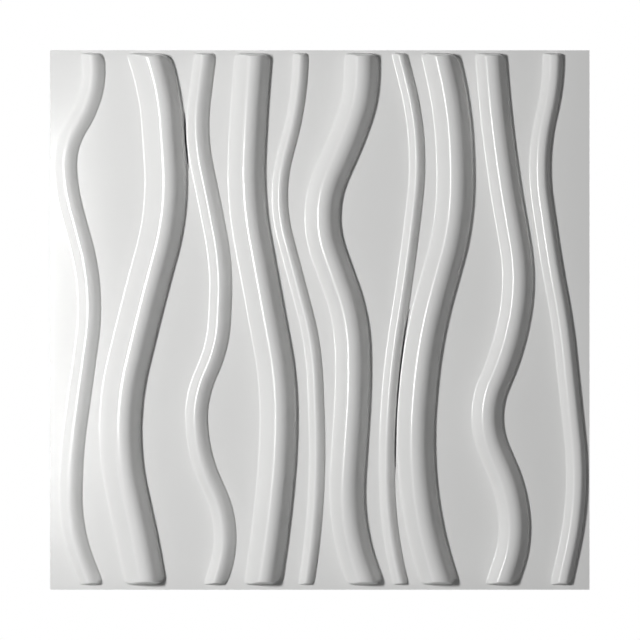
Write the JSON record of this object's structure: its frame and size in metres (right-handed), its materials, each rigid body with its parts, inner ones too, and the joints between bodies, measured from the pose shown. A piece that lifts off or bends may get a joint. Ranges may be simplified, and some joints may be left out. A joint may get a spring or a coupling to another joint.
{
  "type": "3d wall panel tile",
  "caption": "Square vacuum-formed wall panel with wavy hollow ribs down its front, for decorating walls and ceilings.",
  "frame": {"origin": "middle of the panel's back, in the plane that lies on the wall or floor", "axes": "+Z out of the patterned front, +Y towards the edge that is uppermost on a wall, +X to the right across the ribs"},
  "size_m": [0.5, 0.5, 0.019],
  "materials": {
    "white_pvc": "smooth semi-gloss white PVC"
  },
  "bodies": {
    "root": {"panel_sheet": "white_pvc"}
  },
  "joints": []
}
